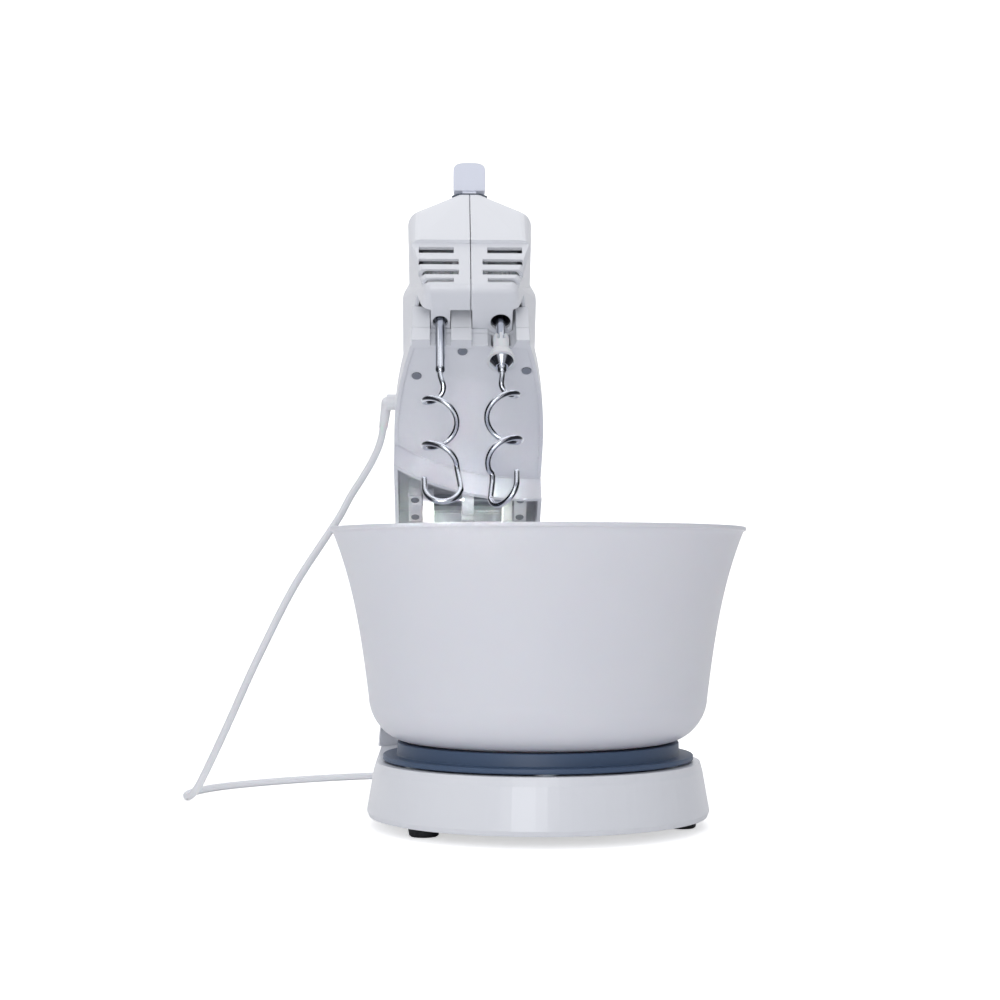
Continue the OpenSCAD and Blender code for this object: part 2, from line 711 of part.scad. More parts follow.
// A ball given as [distance in front of the hinge, x, height, radius], and its mirror image
module ball_pair(b, inset) for (side = [-1, 1]) translate([side * b[1], -b[0], b[2]])
    sphere(r = b[3] - inset, $fn = hull_fn);
module body_balls(inset) hull() {
    ball_pair([mixer_rear + 4, body_half_w - 14, mixer_under + 12, 12], inset);
    ball_pair([mixer_rear + 6, body_half_w - 18, 62, 14], inset);
    ball_pair([70, body_half_w - 12, mixer_under + 12, 12], inset);
    ball_pair([70, body_half_w - 14, 62, 14], inset);
    ball_pair([neck_l, body_half_w - 12, 52, 12], inset);
    ball_pair([neck_l, body_half_w - 18, 68, 12], inset);
    ball_pair([neck_l + 6, 24, mixer_under + 6, 6], inset);
    ball_pair([nose_l - 10, 24, mixer_under + 8.5, 6], inset);
}
module nose_balls(inset) hull() {
    ball_pair([nose_l - 10, 24, mixer_under + 8.5, 6], inset);
    ball_pair([nose_l - 7, 31.5, 53, 7], inset);
    ball_pair([nose_l - 15, 30, 84, 10], inset);
    ball_pair([nose_l - 12, 5, 101, 7], inset);
    ball_pair([neck_l, 30, 50, 9], inset);
    ball_pair([neck_l - 4, 28, 78, 10], inset);
    ball_pair([neck_l + 2, 5, 104, 8], inset);
}
module grip_balls(inset) hull() {
    ball_pair([neck_l + 6, 3, 104, 10], inset);
    ball_pair([90, 4, 110, 12], inset);
    ball_pair([24, 4, 108, 12], inset);
}
module rear_strut() hull() {
    ball_pair([24, 4, 108, 12], 0);
    ball_pair([19, 8, 66, 12], 0);
}
module mixer_outer() {
    body_balls(0);
    nose_balls(0);
    grip_balls(0);
    rear_strut();
}
module mixer_inner() {
    body_balls(shell_wall);
    difference() {
        nose_balls(shell_wall);
        translate([-60, -nose_l - 5, 0])
            cube([120, 5 + brow_depth + shell_wall + 0.4, brow_h + shell_wall]);
    }
    grip_balls(shell_wall);
}
// The face under the brow is set back
module brow_cut() translate([-60, 0, 0]) rotate([90, 0, 90]) linear_extrude(120) polygon([
    [brow_depth - nose_l, brow_h], [-nose_l - 5, brow_h + 0.6], [-nose_l - 5, 0],
        [brow_depth + 2.2 - nose_l, 0], [brow_depth + 2.2 - nose_l, mixer_under]]);
// Pockets in the underside for the arm's prongs
module prong_pockets() {
    translate([-60, -prong_front - 9.5, 0])
        cube([60 + prongs[0][1] + part_gap, prong_front + 10.5 - prong_back, prong_top + 1.5]);
    translate([prongs[1][0] - part_gap, -prong_front - 9.5, 0])
        cube([prongs[1][1] - prongs[1][0] + 2 * part_gap, prong_front + 10.5 - prong_back,
        prong_top + 1.5]);
    translate([prongs[2][0] - part_gap, -prong_front - 9.5, 0])
        cube([60, prong_front + 10.5 - prong_back, prong_top + 1.5]);
}
// Slot for the speed knob's stem, open over its whole travel
module knob_slot() translate([-stem_w / 2 - part_gap, knob_back - nose_l - stem_t / 2 - part_gap, 92])
    cube([stem_w + 2 * part_gap, stem_t + speed_travel + 2 * part_gap, 40]);
// Vent slots on each side of the front, under the brow
module vent_slots() for (side = [-1, 1]) for (v = vents)
    translate([side > 0 ? v[0] : -vent_out, -nose_l - 5, v[1]]) cube([vent_out - v[0], 14, v[2]]);
module mixer_holes() {
    brow_cut();
    prong_pockets();
    translate([-socket_x, -socket_l, 0]) cylinder(r = left_mouth_r, h = 20);
    translate([socket_x, -socket_l, 0]) cylinder(r = right_mouth_r, h = 20);
    knob_slot();
    vent_slots();
    translate([-60, -exit_l, exit_h]) rotate([0, 90, 0]) cylinder(r = gland_r, h = 30);
}
module mixer_shell(side) on_arm() difference() {
    union() {
        intersection() {
            difference() {
                mixer_outer();
                mixer_inner();
            }
            translate([side < 0 ? -100 : seam_gap, -300, 0])
                cube([100 - (side < 0 ? seam_gap : 0), 400, 200]);
        }
        for (p = shell_posts) translate([0, -p[0], p[1]]) rotate([0, 90 * side, 0])
            cylinder(r = post_r, h = p[2]);
    }
    mixer_holes();
    for (p = shell_posts) translate([0, -p[0], p[1]]) rod_x(screw_r, 0, 26);
}
module mixer_shell_left() color(white) mixer_shell(-1);
module mixer_shell_right() color(white) mixer_shell(1);

// A slate cap that follows the top of the nose and the grip
module handle_strip() color(slate) on_arm() difference() {
    intersection() {
        union() {
            nose_balls(-strip_t);
            grip_balls(-strip_t);
        }
        translate([-strip_w / 2, strip_front - nose_l, 100])
            cube([strip_w, nose_l - strip_front - strip_back, 60]);
    }
    nose_balls(0);
    grip_balls(0);
    knob_slot();
}

module shell_screws() color(steel) on_arm() for (p = shell_posts) translate([0, -p[0], p[1]])
    rod_x(screw_r, 0, 24);

module gearbox_frame() color(nylon) on_arm() difference() {
    union() {
        for (z = [frame_low, frame_high]) translate([-30, -socket_l - 17, z]) cube([60, 45, frame_t]);
        for (side = [-1, 1]) for (p = [[9, socket_l + 14.4], [27, socket_l - 25]])
            translate([side * p[0], -p[1], frame_low + 1])
            cylinder(r = 2.4, h = frame_high - frame_low);
    }
    for (side = [-1, 1]) translate([side * socket_x, -socket_l, 0])
        cylinder(r = (side < 0 ? left_tube_r : right_tube_r) + run_fit, h = 100);
}

module stator() color(steel) on_arm() translate([0, 0, motor_h]) difference() {
    translate([-27, -stator_l - stator_t / 2, -23]) cube([54, stator_t, 46]);
    rod_l(rotor_r + air_gap, stator_l - 20, stator_l + 20);
}
module field_coils() color(copper) on_arm() for (z = [-1, 1]) for (y = [-1, 1])
    translate([-15, -stator_l + y * (stator_t / 2 + 4) - 4, motor_h + z * 19.5 - 3]) cube([30, 8, 6]);
module motor_brackets() color(steel) on_arm() translate([0, 0, motor_h]) for (l = [48, 124])
    difference() {
    translate([-bracket_half, -l - 2, -10]) cube([2 * bracket_half, 4, 20]);
    rod_l(8, l - 5, l + 5);
}
module motor_bearings() color(brass) on_arm() translate([0, 0, motor_h]) for (l = [48, 124])
    difference() {
    rod_l(8, l - 3, l + 3);
    rod_l(motor_shaft_r + run_fit, l - 4, l + 4);
}
module brushes() color(slate) on_arm() for (side = [-1, 1])
    translate([side > 0 ? 9.6 : -20.6, -61, motor_h - 2.5]) cube([11, 5, 5]);
module circuit_board() color(board_green) on_arm() translate([-13, -126, 70.4]) cube([26, 52, 1.6]);

module rotor_shaft() color(steel) on_arm() translate([0, 0, motor_h]) rod_l(motor_shaft_r, 42, worm_back);
module rotor_core() color(steel) on_arm() translate([0, 0, motor_h]) difference() {
    rod_l(rotor_r, stator_l - 14, stator_l + 14);
    rod_l(motor_shaft_r, stator_l - 20, stator_l + 20);
    for (i = [0 : 11]) rotate([0, 30 * i, 0]) translate([rotor_r - 5, 0, 0])
        translate([0, -stator_l, 0]) cube([12, 40, 1.6], center = true);
}
module commutator() color(copper) on_arm() translate([0, 0, motor_h]) difference() {
    rod_l(9, 53, 63);
    rod_l(motor_shaft_r, 50, 66);
}
module fan() color(nylon) on_arm() translate([0, 0, motor_h]) difference() {
    union() {
        rod_l(23, 110, 112);
        rod_l(7, 108, 117);
        for (i = [0 : 8]) rotate([0, 40 * i, 0]) translate([5, -117, -0.6]) cube([17, 6, 1.2]);
    }
    rod_l(motor_shaft_r, 100, 120);
}
module worm() color(steel) on_arm() translate([0, 0, motor_h]) {
    rod_l(2.9, worm_back, worm_back + 33);
    for (i = [0 : 9]) rod_l(worm_r, worm_back + 1 + 3 * i, worm_back + 2.4 + 3 * i);
}

module gear_wheel(bore) difference() {
    union() {
        cylinder(r = gear_r - 1.3, h = gear_t);
        for (i = [0 : gear_teeth - 1]) rotate(360 / gear_teeth * i) translate([gear_r - 2, -0.75, 0])
            cube([2, 1.5, gear_t]);
    }
    translate([0, 0, -1]) cylinder(r = bore, h = gear_t + 2);
}
module left_gear() color(nylon) at_socket(-1) translate([0, 0, gear_h - gear_t / 2])
    gear_wheel(left_tube_r);
module right_gear() color(nylon) at_socket(1) translate([0, 0, gear_h - gear_t / 2])
    gear_wheel(right_tube_r);
module left_spindle() color(steel) at_socket(-1) difference() {
    translate([0, 0, spindle_low]) cylinder(r = left_tube_r, h = spindle_top - spindle_low);
    translate([0, 0, spindle_low - 1]) cylinder(r = shaft_r + run_fit, h = 100);
}
module right_spindle() color(steel) at_socket(1) difference() {
    translate([0, 0, spindle_low]) cylinder(r = right_tube_r, h = spindle_top - spindle_low);
    translate([0, 0, spindle_low - 1]) cylinder(r = shaft_r + run_fit, h = 100);
    translate([0, 0, spindle_low - 1]) cylinder(r = collar_bore_r, h = 20);
}

// ---- Hooks ----

// The wire's centreline below the shaft: a coil that widens from the axis, then an open loop.
// x is across, and the coil falls as it turns from the back to the left side to the front.
function hook_line(foot, low) = concat(
    [[0, 0, foot + 3], [0, 0, foot - 2]],
    [for (i = [1 : 32]) let (u = i / 32, a = 360 * hook_turns * u, r = hook_coil_r * min(1, 4.5 * u))
        [r * cos(a), r * sin(a), foot - 5 - (hook_turns * hook_pitch + 1) * u]],
    [for (i = [0 : 12]) let (a = 15 * i)
        [loop_shift + loop_r * cos(a), 0, low + loop_r + wire_r - loop_r * sin(a)]],
    [[loop_shift - loop_r - 0.3, 0, low + loop_r + 10]]);
module hook(mirrored) {
    foot = mixer_under - shaft_out;
    translate([0, 0, foot]) cylinder(r = shaft_r, h = shaft_out + shaft_in);
    mirror([mirrored ? 1 : 0, 0, 0]) tube(hook_line(foot, mixer_under - hook_len), wire_r, 8);
}
module left_hook() color(chrome) at_socket(-1) {
    hook(false);
    translate([-wing_span / 2, -0.75, mixer_under - 32]) cube([wing_span, 1.5, 6]);
}
module right_hook() color(chrome) at_socket(1) rotate([0, 0, right_hook_turn]) hook(true);

module drive_collar() color(nylon) at_socket(1) difference() {
    union() {
        translate([0, 0, mixer_under - 27]) cylinder(r = collar_r, h = 9);
        for (i = [0 : collar_teeth - 1]) rotate(360 / collar_teeth * i)
            translate([collar_r - 2, -1, mixer_under - 19]) cube([1.9, 2, 6]);
        translate([0, 0, mixer_under - 34]) cylinder(r1 = cup_r, r2 = cup_r - 2.4, h = 7.4);
    }
    translate([0, 0, mixer_under - 60]) cylinder(r = shaft_r, h = 80);
}
module hook_washer() color(chrome) at_socket(1) difference() {
    translate([0, 0, mixer_under - 39]) cylinder(r1 = 4, r2 = 7.4, h = 5);
    translate([0, 0, mixer_under - 60]) cylinder(r = shaft_r, h = 80);
}

// ---- Knob and ejector ----

module at_knob() on_arm() translate([0, knob_back - nose_l, 0]) children();
module knob_stem(gap) translate([-stem_w / 2 - gap, -stem_t / 2 - gap, 0])
    cube([stem_w + 2 * gap, stem_t + 2 * gap, 200]);
module speed_carriage() color(nylon) at_knob() difference() {
    translate([-8, -4.5, knob_low + 2]) cube([16, 10.5, 4]);
    knob_stem(run_fit);
}
// The knob's rounded upper edge, from one side to the other
knob_top = [for (i = [0 : 16]) let (a = 180 * i / 16, c = cos(a))
    [knob_w / 2 * (c < 0 ? -1 : 1) * pow(abs(c), 0.6),
        knob_h - knob_arch + knob_arch * pow(abs(sin(a)), 0.75)]];
module eject_knob() color(lavender) at_knob() {
    intersection() {
        knob_stem(0);
        translate([-20, -20, knob_low]) cube([40, 40, knob_foot - knob_low + 3]);
    }
    translate([0, 0, knob_foot]) rotate([knob_lean, 0, 0]) translate([0, knob_t / 2, 0])
        rotate([90, 0, 0]) linear_extrude(knob_t) {
        polygon(concat([[knob_w / 2 - 0.6, 0], [knob_w / 2, 3]], knob_top,
            [[-knob_w / 2, 3], [0.6 - knob_w / 2, 0]]));
    }
}
module eject_spring() color(steel) on_arm()
    translate([0, 15 - socket_l, frame_high + frame_t + spring_wire_r])
    tube([for (i = [0 : 12 * spring_turns]) [spring_r * cos(30 * i), spring_r * sin(30 * i),
        (ejector_z - frame_high - frame_t - 2 * spring_wire_r) * i / (12 * spring_turns)]],
            spring_wire_r, 6);
module ejector() color(nylon) at_knob() {
    translate([-26, -6, ejector_z]) cube([52, 34, ejector_t]);
    translate([-4, -3, ejector_z]) cube([8, 6, knob_low - ejector_z - seat_gap]);
    for (side = [-1, 1]) translate([side * socket_x, nose_l - knob_back - socket_l,
        homed_top + knob_travel])
        cylinder(r = shaft_r - part_gap, h = ejector_z - homed_top - knob_travel + 1);
}

// ---- Strain relief and cord ----

function arm_point(x, l, h) = [arm_x + x, reach - l * cos(tilt) + h * sin(tilt),
    hinge_z + l * sin(tilt) + h * cos(tilt)];
exit_point = arm_point(exit_x, exit_l, exit_h);
cord_line = smooth(cord_route, 2);

// The boot's end is parallel to the lead's first ring, so that they meet face to face
module strain_relief() color(lead_white) {
    on_arm() translate([exit_x, -exit_l, exit_h]) rotate([0, 90, 0])
        cylinder(r = gland_r - 0.2, h = -exit_x - 37);
    at_bowl() hull() {
        translate(exit_point) sphere(r = 3.6, $fn = 24);
        tube([for (back = [0.5, run_fit]) cord_line[0] - back * along(cord_line, 0)], boot_end_r, 16);
    }
}

module cord_run() color(lead_white) at_bowl() tube(cord_line, cord_r, 10);
module at_coil() at_bowl() translate([coil_at[0], coil_at[1], tie_t]) children();
module cord_coil() color(lead_white) at_coil() rotate_extrude($fn = 64)
    translate([coil_mid_r - coil_wide / 2, 0]) square([coil_wide, coil_high]);
module at_plug() at_coil() rotate([0, 0, 90]) translate([coil_mid_r + cord_r, 0, 1.5 * cord_d])
    rotate([-90, 0, 0]) children();
module cord_tail() color(lead_white) at_plug() translate([0, 0, 8])
    cylinder(r = cord_r, h = plug_start - 8);
module cord_tie() color(white) at_coil() rotate([0, 0, 200]) difference() {
    translate([coil_mid_r - coil_wide / 2 - tie_t - 0.6, -tie_w / 2, -tie_t])
        cube([coil_wide + 2 * tie_t + 0.6, tie_w, coil_high + 2 * tie_t]);
    translate([coil_mid_r - coil_wide / 2 - 0.6, -tie_w, 0])
        cube([coil_wide + 0.6, 2 * tie_w, coil_high]);
}
module plug_body() color(lead_white) at_plug() {
    translate([0, 0, plug_start]) cylinder(r1 = 3.4, r2 = 5, h = 16);
    hull() for (x = [-1, 1]) {
        translate([x * (plug_w / 2 - 8), 0, plug_start + 22]) rotate([90, 0, 0])
            cylinder(r = 6, h = plug_t - 1, center = true, $fn = hull_fn);
        translate([x * (plug_w / 2 - 4), 0, plug_start + 12 + plug_len]) rotate([90, 0, 0])
            cylinder(r = 4, h = plug_t - 1, center = true, $fn = hull_fn);
    }
}
module plug_pins() color(steel) at_plug() for (x = [-1, 1])
    translate([x * pin_gap / 2, 0, plug_start + 16 + plug_len]) cylinder(r = pin_r, h = pin_len);

base_housing();
base_plate();
base_screws();
rubber_feet();
glide_pads();
turntable_spindle();
turntable_bush();
turntable();
turntable_screw();
bowl();
column_front();
column_rear_cover();
column_screws();
cover_screws();
hinge_bushes();
lock_slider();
lock_knob();
arm_lower();
arm_upper();
arm_screws();
hinge_pin();
hinge_caps();
hinge_cap_screws();
mixer_shell_left();
mixer_shell_right();
handle_strip();
shell_screws();
gearbox_frame();
stator();
field_coils();
motor_brackets();
motor_bearings();
brushes();
circuit_board();
strain_relief();
rotor_shaft();
rotor_core();
commutator();
fan();
worm();
left_spindle();
left_gear();
right_spindle();
right_gear();
left_hook();
right_hook();
drive_collar();
hook_washer();
speed_carriage();
eject_knob();
ejector();
eject_spring();
cord_run();
cord_coil();
cord_tail();
cord_tie();
plug_body();
plug_pins();
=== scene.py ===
# %% [markdown]
# # A stand mixer with a hand mixer on a tilting arm
#
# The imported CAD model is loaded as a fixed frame: every hard part already has its real shape,
# size and place. This lesson adds what CAD leaves out. It sets a camera, lays the mains lead as
# one curve, builds smooth skins for the round parts with a few numpy formulas, and gives each
# part a node material named after the real material. Lengths are in metres, +Z is up and the
# front faces -Y.

# %% Load the frame
import json
import math

import bpy
import numpy as np
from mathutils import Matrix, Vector


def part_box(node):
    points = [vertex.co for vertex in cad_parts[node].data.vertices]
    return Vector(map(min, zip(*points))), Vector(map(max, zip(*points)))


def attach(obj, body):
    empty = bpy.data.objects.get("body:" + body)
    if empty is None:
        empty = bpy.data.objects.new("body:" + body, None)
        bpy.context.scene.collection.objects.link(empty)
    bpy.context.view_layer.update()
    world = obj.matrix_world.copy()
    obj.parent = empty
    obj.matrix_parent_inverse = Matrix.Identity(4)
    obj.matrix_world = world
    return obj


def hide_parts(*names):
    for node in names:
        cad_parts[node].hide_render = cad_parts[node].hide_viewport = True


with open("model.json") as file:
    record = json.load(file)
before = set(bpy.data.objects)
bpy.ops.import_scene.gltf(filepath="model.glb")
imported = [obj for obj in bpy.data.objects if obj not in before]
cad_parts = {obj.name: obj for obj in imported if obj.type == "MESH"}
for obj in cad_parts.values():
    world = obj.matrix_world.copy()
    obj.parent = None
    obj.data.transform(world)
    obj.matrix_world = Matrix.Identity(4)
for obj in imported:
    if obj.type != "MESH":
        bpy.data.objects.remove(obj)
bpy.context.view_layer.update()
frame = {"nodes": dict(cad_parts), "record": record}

NODES = frame["nodes"]

# %% [markdown]
# ## The camera
#
# The camera stands a little over a metre in front of the bowl, at worktop height, with a long
# lens, so that the bowl's rim is seen almost edge-on. It looks slightly up and slightly to the
# right.

# %% Camera
camera_data = bpy.data.cameras.new("camera")
camera_data.lens = 65.5
camera_data.sensor_width = 36.0
camera_data.clip_start = 0.01
camera_data.dof.use_dof = False
camera = bpy.data.objects.new("camera", camera_data)
bpy.context.collection.objects.link(camera)
camera.location = (-0.0592, -1.1505, 0.150)
camera.rotation_euler = (math.radians(92.33), 0.0, math.radians(-1.9))
bpy.context.scene.camera = camera
print("camera at", tuple(round(v, 3) for v in camera.location))

# %% [markdown]
# ## The mains lead
#
# A lead has a fixed length and thickness, so it is one open curve with a round bevel. It leaves
# the mixer's strain relief, hangs behind the bowl, lies on the table, and its spare length is
# wound into a flat coil of two rows behind the base. The route's points are the CAD tube's own
# points about the bowl's axis. `coil_points` walks round the coil and changes its radius or its
# height only where the turn below has already moved away.

# %% Lead
BOWL_Y = -0.0515
CORD_D = 0.005
ROUTE = [
    (-97.2, 121.9, 248.1), (-99, 127, 240), (-103, 131, 230), (-111, 134, 216), (-119, 131, 203),
    (-126, 124, 189), (-132, 118, 179), (-140, 110, 166), (-148, 103, 153), (-156, 98, 139),
    (-165, 94, 121), (-173, 91, 104), (-181, 90, 87), (-189, 90, 69), (-197, 91, 51),
    (-205, 94, 34), (-212, 98.5, 20), (-217, 103.5, 11), (-222, 111, 5), (-226, 121, 2.8),
    (-228, 133, 2.5), (-226, 147, 2.5), (-221, 161, 2.5), (-212, 176, 2.5), (-198, 191, 2.5),
    (-181, 205, 2.5), (-162, 218, 2.5), (-142, 229, 2.5), (-121, 238, 2.5), (-99, 245, 2.5),
    (-77, 249, 2.5), (-55, 251.5, 2.5), (-33, 252, 2.5), (-12, 252, 2.7), (6, 252, 3)]
LEAD_TAIL = [(9, 312, 8.3), (0, 312, 8.3), (-9.5, 312, 8.3)]
COIL_CENTRE = (18.0, 282.0)
COIL_OUTER_R, COIL_ROW = 30.0, 5.0
COIL_LOW = 3.3


def smoothstep(t):
    """0 before t = 0, 1 after t = 1, and 3t^2 - 2t^3 between."""
    t = min(max(t, 0.0), 1.0)
    return t * t * (3 - 2 * t)


def coil_points(per_turn=16, turns=3.5):
    """Points of the coil: the angle grows steadily from -90 degrees, while radius and height step
    between 30 and 25 mm and between 3.3 and 8.3 mm near the end of each turn."""
    points = []
    for i in range(int(per_turn * turns) + 1):
        angle = 360.0 * i / per_turn
        inward = smoothstep((angle - 285) / 65)
        upward = smoothstep((angle - 630) / 70)
        outward = smoothstep((angle - 970) / 50)
        radius = COIL_OUTER_R - COIL_ROW * inward + COIL_ROW * outward
        height = COIL_LOW + COIL_ROW * upward
        turn = math.radians(angle - 90)
        x = COIL_CENTRE[0] + radius * math.cos(turn)
        y = COIL_CENTRE[1] + radius * math.sin(turn)
        points.append((x, y, height))
    return points


def curve_length(curve_object):
    """Length of the evaluated curve, found from a copy without its bevel."""
    copy = curve_object.data.copy()
    copy.bevel_depth = 0.0
    probe = bpy.data.objects.new("probe", copy)
    mesh = probe.to_mesh()
    line = np.array([v.co for v in mesh.vertices])
    length = float(np.linalg.norm(np.diff(line, axis=0), axis=1).sum())
    probe.to_mesh_clear()
    bpy.data.objects.remove(probe)
    bpy.data.curves.remove(copy)
    return length


cord_line = ROUTE + coil_points() + LEAD_TAIL
cord_data = bpy.data.curves.new("mains_lead", "CURVE")
cord_data.dimensions = "3D"
cord_data.resolution_u = 6
cord_data.bevel_depth = 1.0
cord_data.bevel_resolution = 4
cord_data.use_fill_caps = True
spline = cord_data.splines.new("BEZIER")
spline.bezier_points.add(len(cord_line) - 1)
for point, (x, y, z) in zip(spline.bezier_points, cord_line):
    point.co = (x / 1000, y / 1000 + BOWL_Y, z / 1000)
    point.handle_left_type = point.handle_right_type = "AUTO"
    point.radius = CORD_D / 2
mains_lead = bpy.data.objects.new("mains_lead", cord_data)
bpy.context.collection.objects.link(mains_lead)
bpy.context.view_layer.update()
cord_length = curve_length(mains_lead)
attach(mains_lead, "base")
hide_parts("cord_run", "cord_coil", "cord_tail")
print("lead length", round(cord_length, 3), "m")

# %% [markdown]
# ## Helpers for surfaces
#
# A new part is a grid of points from a formula. `grid_faces` joins the grid's rows and columns
# with quads and can close it round. `lathe` turns a profile about the bowl's axis, and `sweep`
# carries a circle along a line with a side direction that never twists.

# %% Surface helpers


def add_mesh(name, points, faces, body, smooth=True):
    """Makes a mesh object at the origin that rides on a body."""
    mesh = bpy.data.meshes.new(name)
    mesh.from_pydata(points.tolist(), [], faces)
    mesh.polygons.foreach_set("use_smooth", np.full(len(mesh.polygons), smooth))
    mesh.update()
    piece = bpy.data.objects.new(name, mesh)
    bpy.context.collection.objects.link(piece)
    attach(piece, body)
    return piece


def grid_faces(rows, columns, close_rows=False, close_columns=True):
    """Quads of a grid numbered row by row. A closed direction joins its last line to its first."""
    r = np.arange(rows if close_rows else rows - 1)
    c = np.arange(columns if close_columns else columns - 1)
    r, c = np.meshgrid(r, c, indexing="ij")
    r2, c2 = (r + 1) % rows, (c + 1) % columns
    quads = np.stack([r * columns + c, r * columns + c2, r2 * columns + c2, r2 * columns + c], axis=-1)
    return quads.reshape(-1, 4).tolist()


def lathe(name, profile, body, segments=160):
    """Turns the profile, (radius, height) points that run up the outside, about the bowl's axis:
    x = r cos a, y = r sin a. A profile that ends on the axis is closed there with a fan."""
    profile = np.array(profile, float)
    angle = np.linspace(0, 2 * np.pi, segments, endpoint=False)
    on_axis = profile[:, 0] < 1e-9
    rings = profile[~on_axis]
    x = rings[:, :1] * np.cos(angle)
    y = rings[:, :1] * np.sin(angle) + BOWL_Y
    z = np.repeat(rings[:, 1:], segments, axis=1)
    points = np.stack([x, y, z], axis=-1).reshape(-1, 3)
    faces = grid_faces(len(rings), segments, close_rows=not on_axis.any())
    for first, ring in ((True, 0), (False, len(rings) - 1)):
        if on_axis[0 if first else -1]:
            height = profile[0 if first else -1, 1]
            points = np.vstack([points, [[0, BOWL_Y, height]]])
            hub = len(points) - 1
            k = np.arange(segments)
            a, b = ring * segments + k, ring * segments + (k + 1) % segments
            sides = (b, a) if first else (a, b)
            faces = faces + np.stack([np.full(segments, hub), *sides], 1).tolist()
    return add_mesh(name, points, faces, body)


def round_line(points, radius, steps=4):
    """Rounds the corners of a profile: each inner point becomes an arc-like run of points on the
    quadratic curve between its two neighbours' sides, no further than radius from the corner."""
    points = [np.array(p, float) for p in points]
    result = [points[0]]
    for before, corner, after in zip(points, points[1:], points[2:]):
        reach = min(radius, 0.45 * np.linalg.norm(before - corner), 0.45 * np.linalg.norm(after - corner))
        start = corner + (before - corner) / np.linalg.norm(before - corner) * reach
        end = corner + (after - corner) / np.linalg.norm(after - corner) * reach
        for t in np.linspace(0, 1, steps):
            result.append((1 - t) ** 2 * start + 2 * t * (1 - t) * corner + t * t * end)
    result.append(points[-1])
    return result


def sweep(line, radius, sides=20):
    """Points and faces of a round tube: p + r (cos k u + sin k v), where u is carried from ring to
    ring at right angles to the line. Both ends are domed with three shrinking rings."""
    line = np.array(line, float)
    start, end = line[0], line[-1]
    tangent = np.gradient(line, axis=0)
    tangent /= np.linalg.norm(tangent, axis=1)[:, None]
    side = np.zeros_like(line)
    side[0] = np.cross(tangent[0], [0.0, 0.3, 1.0] if abs(tangent[0][2]) < 0.8 else [1.0, 0.2, 0.0])
    side[0] /= np.linalg.norm(side[0])
    for i in range(1, len(line)):
        carried = side[i - 1] - tangent[i] * np.dot(side[i - 1], tangent[i])
        side[i] = carried / np.linalg.norm(carried)
    dome = np.radians([75, 50, 25])
    flat = 0.96 * radius
    near, far = start + flat * tangent[0], end - flat * tangent[-1]
    radii = np.concatenate([radius * np.cos(dome), np.full(len(line), radius), radius * np.cos(dome[::-1])])
    centres = np.vstack([near - np.outer(radius * np.sin(dome), tangent[0]), line,
                         far + np.outer(radius * np.sin(dome[::-1]), tangent[-1])])
    u = np.vstack([np.repeat(side[:1], 3, 0), side, np.repeat(side[-1:], 3, 0)])
    t = np.vstack([np.repeat(tangent[:1], 3, 0), tangent, np.repeat(tangent[-1:], 3, 0)])
    v = np.cross(t, u)
    centres[len(dome)] = near
    centres[-1 - len(dome)] = far
    angle = np.linspace(0, 2 * np.pi, sides, endpoint=False)[None, :, None]
    around = np.cos(angle) * u[:, None] + np.sin(angle) * v[:, None]
    rings = centres[:, None] + radii[:, None, None] * around
    faces = grid_faces(len(centres), sides)
    faces.append(list(range(sides))[::-1])
    last = (len(centres) - 1) * sides
    faces.append([last + k for k in range(sides)])
    return rings.reshape(-1, 3), faces


print("surface helpers ready")

# %% [markdown]
# ## The bowl and the turning disc
#
# Both are turned shapes. The profiles run up the outside, round the lip and down the inside, so
# the walls keep their real thickness and the surface is closed.

# %% Bowl and disc


def bezier(points, steps):
    """A cubic curve from four points, as evenly spaced parameter steps."""
    p = np.array(points, float)
    t = np.linspace(0, 1, steps)[:, None]
    return (1 - t) ** 3 * p[0] + 3 * (1 - t) ** 2 * t * p[1] + 3 * (1 - t) * t ** 2 * p[2] + t ** 3 * p[3]


bowl_low, bowl_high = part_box("bowl")
rim_r = (bowl_high.x - bowl_low.x) / 2 * 1000
foot_z, rim_z = bowl_low.z * 1000, bowl_high.z * 1000
FOOT_R, WALL = 74.0, 2.2
FOOT_RING_H, FOOT_RING_W = 4.0, 2.4


def bowl_wall_line(inset):
    """The wall's side view, drawn in from the outside by inset."""
    z0 = foot_z + FOOT_RING_H
    low = bezier([(FOOT_R + 4 - inset, z0 + inset), (FOOT_R + 16 - inset, z0 + 0.7 + inset),
                  (FOOT_R + 26 - inset, z0 + 11.4), (FOOT_R + 27.5 - inset, z0 + 24)], 18)
    high = bezier([(FOOT_R + 27.5 - inset, z0 + 25), (FOOT_R + 31.6 - inset, z0 + 57),
                   (rim_r - 15 - inset, rim_z - 36), (rim_r - 1.5 - inset, rim_z - 3)], 34)
    return low.tolist() + high.tolist()


ring_inner = FOOT_R - FOOT_RING_W
foot_ring = [(0, foot_z + FOOT_RING_H), (ring_inner, foot_z + FOOT_RING_H),
             (ring_inner, foot_z + 0.4), (ring_inner + 0.4, foot_z), (FOOT_R - 0.4, foot_z),
             (FOOT_R, foot_z + 0.4), (FOOT_R, foot_z + FOOT_RING_H - 0.2)]
lip = round_line([(rim_r - 1.2, rim_z - 2.8), (rim_r, rim_z - 2.4), (rim_r, rim_z),
                  (rim_r - 3.7, rim_z), (rim_r - 3.8, rim_z - 2)], 0.9)
inside = bowl_wall_line(WALL)[::-1] + [(0, foot_z + FOOT_RING_H + WALL)]
profile = foot_ring + bowl_wall_line(0) + [tuple(p) for p in lip] + inside
bowl_skin = lathe("bowl_skin", np.array(profile) / 1000, "bowl")
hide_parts("bowl")

disc_low, disc_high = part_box("turntable")
flange_r = (disc_high.x - disc_low.x) / 2 * 1000
low, top = disc_low.z * 1000, disc_high.z * 1000
well = FOOT_R + 0.4
